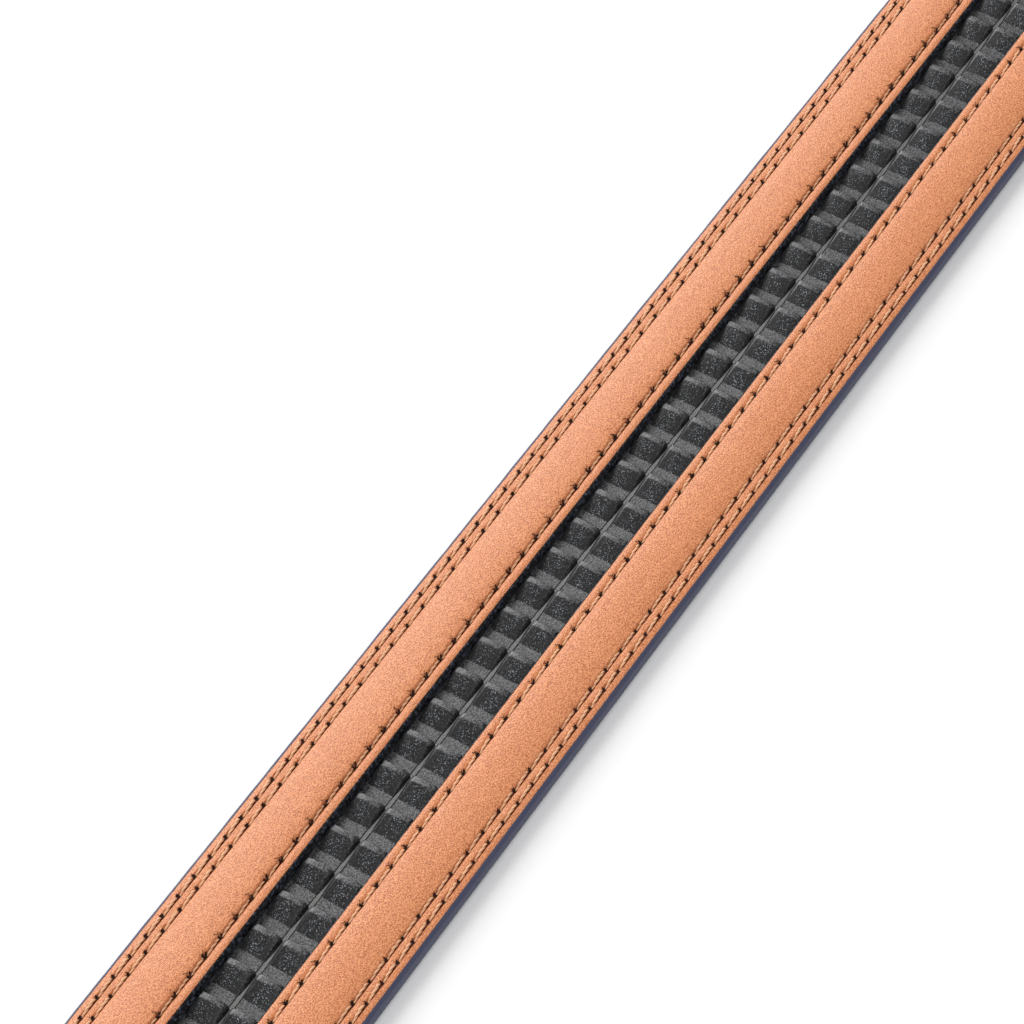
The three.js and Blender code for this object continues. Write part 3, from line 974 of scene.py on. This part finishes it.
# Sections of the paint: outwards from the leather's cut face, and up from the shoulder, where None
# is on the leather's face
PAINT_SECTION = [
    (-0.5, -0.4), (-0.32, None), (-0.16, None), (-0.04, None), (0.14, -0.5), (0.24, -0.85),
    (0.24, -1.4), (0.18, -2.0), (0.06, -2.5), (-0.04, -2.95), (-0.4, -3.12), (-0.6, -1.6),
]
SLOT_PAINT_SECTION = [
    (-0.7, -0.6), (-0.3, None), (-0.2, None), (-0.12, None), (-0.05, None), (0.07, -0.28),
    (0.13, -0.6), (0.12, -1.2), (0.04, -1.5), (-0.6, -1.5),
]
PAINT_COAT = 0.04
THINNEST_PAINT = 0.05
AHEAD = 0.05


def painted_edge(name, path, closed, section, material, step, lumps):
    """A closed bead of edge paint that follows a cut edge of the strap."""
    at, length = path
    count = int(length / step)
    points = []
    for i in range(count if closed else count + 1):
        s = length * i / count
        x, y = at(s)
        x_next, y_next = at(s + AHEAD if closed else min(s + AHEAD, length))
        x_before, y_before = at(s - AHEAD if closed else max(s - AHEAD, 0.0))
        along = np.array([x_next - x_before, y_next - y_before])
        along = along / np.hypot(*along)
        outward = np.array([along[1], -along[0]])
        if closed:
            outward = -outward
        lift = float(lift_at(np.array(x)))
        for k, (out, up) in enumerate(section):
            wave = math.sin(s / 1.9 + k * 0.9) + 0.7 * math.sin(s / 0.83 + k * 2.1) + math.sin(s / 5.3)
            reach = max(out + lumps * wave, THINNEST_PAINT) if out > 0 else out
            edge = np.array([x, y]) + outward * reach
            on_face = up is None
            height = float(relief(edge[0], edge[1])[0]) + PAINT_COAT if on_face else SHOULDER + up
            points.append((edge[0], edge[1], height + lift))
    size = len(section)
    rings = len(points) // size
    faces = []
    for i in range(rings if closed else rings - 1):
        j = (i + 1) % rings
        for k in range(size):
            m = (k + 1) % size
            faces.append((i * size + k, i * size + m, j * size + m, j * size + k))
    if not closed:
        last = (rings - 1) * size
        faces.append(tuple(reversed(range(size))))
        faces.append(tuple(last + k for k in range(size)))
    if closed:
        faces = [tuple(reversed(face)) for face in faces]
    piece = make_piece(name, points, faces, [material], 60)
    return piece


# Outer leather

POCKET_DEPTH = 0.6
POCKET_GAP = 0.1
POCKET_WALL = 0.02
LONG_STEP = 12.0
BEND_STEP = 2.5


def make_outer_leather():
    """The outer layer: rounded lower edges, and the shallow pocket for the track's strip."""
    pocket_y = TRACK_HIGH[1] + POCKET_GAP
    pocket_x = (TRACK_LOW[0] - POCKET_GAP, TRACK_HIGH[0] + POCKET_GAP)
    rounding = [0, 0.1, 0.35, 0.7]
    half = [0.0, 4.0, pocket_y, pocket_y + POCKET_WALL, 11.0, 14.0]
    half += [HALF_WIDTH - e for e in reversed(rounding)]
    ys = np.array([-y for y in reversed(half[1:])] + half)
    xs = [TIP_X + e for e in rounding] + steps_between(TIP_X + 1.4, TIP_X + TIP_CORNER, 1.0)
    xs += steps_between(xs[-1], pocket_x[0] - POCKET_WALL, LONG_STEP)[1:] + [pocket_x[0]]
    xs += steps_between(pocket_x[0], pocket_x[1], LONG_STEP)[1:] + [pocket_x[1] + POCKET_WALL]
    xs += steps_between(xs[-1], BEND_START_X, LONG_STEP)[1:]
    xs += steps_between(BEND_START_X, BEND_END_X, BEND_STEP)[1:]
    xs += [CUT_X]
    xs = np.array(xs)
    grid_x, grid_y = np.meshgrid(xs, ys, indexing="ij")
    edge_distance = np.minimum(HALF_WIDTH - np.abs(grid_y), grid_x - TIP_X)
    inside = np.clip(EDGE_ROUND - edge_distance, 0, EDGE_ROUND)
    low = EDGE_ROUND - np.sqrt(EDGE_ROUND ** 2 - inside ** 2)
    in_pocket = (np.abs(grid_y) < pocket_y + 0.01) & (grid_x > pocket_x[0] - 0.01) & (
        grid_x < pocket_x[1] + 0.01)
    high = np.where(in_pocket, OUTER_THICKNESS - POCKET_DEPTH, OUTER_THICKNESS)
    side = np.where(grid_y < 0, -1.0, 1.0)
    from_tip = TIP_X + TIP_CORNER - grid_x
    u, v = round_corner(from_tip, np.abs(grid_y), 0.0, HALF_WIDTH - TIP_CORNER, None)
    x = TIP_X + TIP_CORNER - u
    y = v * side
    lift = lift_at(x)
    rows, columns = x.shape
    size = rows * columns
    points = np.vstack([
        np.stack([x, y, high + lift], axis=-1).reshape(-1, 3),
        np.stack([x, y, low + lift], axis=-1).reshape(-1, 3),
    ])
    index = np.arange(size).reshape(rows, columns)
    faces = []
    for i in range(rows - 1):
        for j in range(columns - 1):
            a, b, c, d = index[i, j], index[i + 1, j], index[i + 1, j + 1], index[i, j + 1]
            faces.append((a, b, c, d))
            faces.append((d + size, c + size, b + size, a + size))
    border = [*index[:, 0], *index[-1, 1:], *index[-2::-1, -1], *index[0, -2:0:-1]]
    for a, b in zip(border, border[1:] + border[:1]):
        faces.append((b, a, a + size, b + size))
    faces = [tuple(int(k) for k in face) for face in faces]
    piece = make_piece("outer_leather_skin", points, faces, [DARK], 40)
    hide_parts("outer_leather")
    return piece


# Toothed track

LINE_DEPTH = 0.14
CREST_ROUND = 0.09
FOOT_SQUEEZE = 0.68

# Along one pitch: place, height as a share of the tooth's height, and inset of its rounded corners
TOOTH_ALONG = [
    (0.0, 0.0, 0.0),
    (0.08, 0.02, 0.0),
    (0.25, 0.077, 0.0),
    (1.1, 0.346, 0.0),
    (2.1, 0.664, 0.0),
    (RAMP_LENGTH - 0.25, 0.92, 0.0),
    (RAMP_LENGTH - 0.08, 0.972, 0.0),
    (RAMP_LENGTH + 0.04, 0.996, 0.005),
    (RAMP_LENGTH + 0.14, 1.0, 0.01),
    (RAMP_LENGTH + 0.35, 1.0, 0.02),
    (RAMP_LENGTH + CREST_LENGTH - 0.25, 1.0, 0.04),
    (RAMP_LENGTH + CREST_LENGTH - CREST_ROUND, 1.0, 0.09),
    (RAMP_LENGTH + CREST_LENGTH - 0.02, 0.98, 0.16),
    (RAMP_LENGTH + CREST_LENGTH, 0.92, 0.2),
    (RAMP_LENGTH + CREST_LENGTH + 0.02, 0.05, 0.2),
    (RAMP_LENGTH + CREST_LENGTH + 0.08, 0.0, 0.0),
    (5.2, 0.0, 0.0),
    (TOOTH_PITCH - 0.1, 0.0, 0.0),
]

# Across one row, from its inner end: share of the foot's width, inset at full height, share of height
TOOTH_ACROSS = [
    (0.0, 0.0, 0.0),
    (0.0, -0.14, 0.55),
    (0.0, 0.0, 0.78),
    (0.0, 0.14, 0.9),
    (0.0, 0.32, 0.97),
    (0.0, 0.6, 1.0),
    (0.5, 0.0, 1.0),
    (1.0, -0.5, 1.0),
    (1.0, -0.3, 0.95),
    (1.0, -0.2, 0.85),
    (1.0, -0.12, 0.6),
    (1.0, 0.0, 0.0),
]


def make_track():
    """Two rows of ramped teeth on one strip, with a shallow channel between the rows."""
    xs = [TRACK_LOW[0]]
    heights = [0.0]
    corners = [0.0]
    numbers = [0]
    for n in range(TOOTH_COUNT):
        for place, share, corner in TOOTH_ALONG:
            xs.append(TEETH_X + n * TOOTH_PITCH + place)
            heights.append(share)
            corners.append(corner)
            numbers.append(n)
    xs.append(TRACK_HIGH[0])
    heights.append(0.0)
    corners.append(0.0)
    numbers.append(0)

    inner_end = ROW_GAP / 2
    foot_width = TOOTH_WIDTH + 0.1
    row = [(inner_end + foot_width * share, inset, up) for share, inset, up in TOOTH_ACROSS]
    columns = [(-TRACK_HIGH[1], 0.0, 0.0)]
    columns += [(-y, -inset, up) for y, inset, up in reversed(row)]
    line = [(RIB_HALF_WIDTH, 0.0), (RIB_HALF_WIDTH + 0.04, LINE_DEPTH), (inner_end - 0.08, LINE_DEPTH)]
    columns += [(-y, -depth, None) for y, depth in reversed(line)]
    columns += [(y, -depth, None) for y, depth in line]
    columns += row
    columns.append((TRACK_HIGH[1], 0.0, 0.0))

    points = []
    for i, x in enumerate(xs):
        for y, inset, up in columns:
            # the tooth's foot swells over the line beside the rib
            squeeze = 1 - FOOT_SQUEEZE * math.sqrt(heights[i])
            if up is None:
                points.append((x, y * squeeze, TRACK_FLOOR_Z + inset))
                continue
            if up == 0.0 and abs(y) == inner_end:
                points.append((x, y * squeeze, TRACK_FLOOR_Z))
                continue
            wobble = 1 + 0.03 * math.sin(numbers[i] * 3.7 + y)
            rounding = math.copysign(corners[i] * up, inset) if inset else 0.0
            height = TOOTH_HEIGHT * heights[i] * up
            across = y + inset * heights[i] * wobble + rounding
            points.append((x, across, TRACK_FLOOR_Z + height))
    count = len(columns)
    rows = len(xs)
    faces = []
    for i in range(rows - 1):
        for k in range(count - 1):
            a = i * count + k
            faces.append((a, a + count, a + count + 1, a + 1))
    border = [i * count for i in range(rows)]
    border += [(rows - 1) * count + k for k in range(1, count)]
    border += [i * count + count - 1 for i in range(rows - 2, -1, -1)]
    border += [k for k in range(count - 2, 0, -1)]
    below = len(points)
    for k in border:
        points.append((points[k][0], points[k][1], TRACK_LOW[2]))
    for n in range(len(border)):
        m = (n + 1) % len(border)
        faces.append((border[m], border[n], below + n, below + m))
    faces.append(tuple(below + n for n in reversed(range(len(border)))))
    piece = make_piece("toothed_track", points, faces, [PLASTIC], 35)
    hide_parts("ratchet_track")
    return piece


# Buckle

BUCKLE_EASE = 0.25


def make_buckle():
    """The plain buckle, with its edges eased."""
    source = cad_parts["buckle"]
    mesh = source.data.copy()
    mesh.transform(source.matrix_world)
    piece = bpy.data.objects.new("buckle_body", mesh)
    bpy.context.scene.collection.objects.link(piece)
    mesh.materials.clear()
    mesh.materials.append(METAL)
    work = bmesh.new()
    work.from_mesh(mesh)
    bmesh.ops.remove_doubles(work, verts=work.verts, dist=0.001 * MM)
    bmesh.ops.dissolve_limit(work, angle_limit=math.radians(1), verts=work.verts, edges=work.edges)
    work.to_mesh(mesh)
    work.free()
    ease = piece.modifiers.new("eased edges", "BEVEL")
    ease.width = BUCKLE_EASE * MM
    ease.segments = 2
    ease.limit_method = "ANGLE"
    ease.angle_limit = math.radians(50)
    graph = bpy.context.evaluated_depsgraph_get()
    eased = bpy.data.meshes.new_from_object(piece.evaluated_get(graph))
    piece.modifiers.clear()
    piece.data = eased
    eased.shade_smooth()
    eased.set_sharp_from_angle(angle=math.radians(30))
    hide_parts("buckle")
    return piece


PIECES = [
    make_inner_leather(),
    make_outer_leather(),
    make_track(),
    painted_edge("edge_paint", edge_path(0.0), False, PAINT_SECTION, PAINT, 0.9, 0.015),
    painted_edge("slot_edge_paint", slot_path(0.0), True, SLOT_PAINT_SECTION, SLOT_PAINT, 0.6, 0.05),
    make_stitching("slot_stitching", [(SLOT_HOLES, True)]),
    make_stitching("first_edge_stitching", [(FIRST_HOLES, False)]),
    make_stitching("second_edge_stitching", [(SECOND_HOLES, False)]),
    make_needle_hole_shades(),
    make_buckle(),
]
for made in PIECES:
    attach(made, "root")


# Floor, light and camera

FLOOR_SIZE = 8.0

floor_mesh = bpy.data.meshes.new("floor")
corner = FLOOR_SIZE / 2
floor_mesh.from_pydata(
    [(-corner, -corner, 0), (corner, -corner, 0), (corner, corner, 0), (-corner, corner, 0)],
    [], [(0, 1, 2, 3)],
)
floor_mesh.materials.append(FLOOR)
floor = bpy.data.objects.new("floor", floor_mesh)
bpy.context.scene.collection.objects.link(floor)

# the photo's middle falls on the strap's left side, near the middle of the slot
AIM_ALONG = 0.57
AIM_ACROSS = 12.7
TARGET = Vector((TRACK_CENTRE_X + AIM_ALONG, AIM_ACROSS, STRAP_TOP)) * MM
CAMERA_BACK = Vector((-0.495, -0.3622, 0.7898)).normalized()
CAMERA_DISTANCE = 0.5889
CAMERA_ROLL = math.radians(-4.21)
CAMERA_LENS = 139.5

camera_data = bpy.data.cameras.new("camera")
camera_data.sensor_width = 36
camera_data.lens = CAMERA_LENS
camera_data.clip_start = 0.05
camera_data.clip_end = 20
camera = bpy.data.objects.new("camera", camera_data)
bpy.context.scene.collection.objects.link(camera)
forward = -CAMERA_BACK
level = forward.cross(Vector((0, 0, 1))).normalized()
upright = level.cross(forward)
right = level * math.cos(CAMERA_ROLL) + upright * math.sin(CAMERA_ROLL)
up = upright * math.cos(CAMERA_ROLL) - level * math.sin(CAMERA_ROLL)
placed = Matrix((right, up, CAMERA_BACK)).transposed().to_4x4()
placed.translation = TARGET + CAMERA_BACK * CAMERA_DISTANCE
camera.matrix_world = placed
bpy.context.scene.camera = camera


def softbox(name, direction, distance, size, power):
    """A square area light that looks at the middle of what the camera sees."""
    data = bpy.data.lights.new(name, "AREA")
    data.size = size
    data.energy = power
    light = bpy.data.objects.new(name, data)
    bpy.context.scene.collection.objects.link(light)
    away = Vector(direction).normalized()
    light.location = TARGET + away * distance
    light.rotation_mode = "QUATERNION"
    light.rotation_quaternion = away.to_track_quat("Z", "Y")
    return light


softbox("key_softbox", direction=(0.4, 0.72, 0.57), distance=2.0, size=1.6, power=39)
softbox("front_softbox", direction=(-0.6, -0.2, 0.77), distance=2.0, size=1.0, power=17)
world = bpy.data.worlds.new("studio")
world.use_nodes = True
background = world.node_tree.nodes["Background"]
background.inputs["Color"].default_value = srgb("#ffffff")
background.inputs["Strength"].default_value = 0.35
bpy.context.scene.world = world
bpy.context.scene.view_settings.view_transform = "Standard"
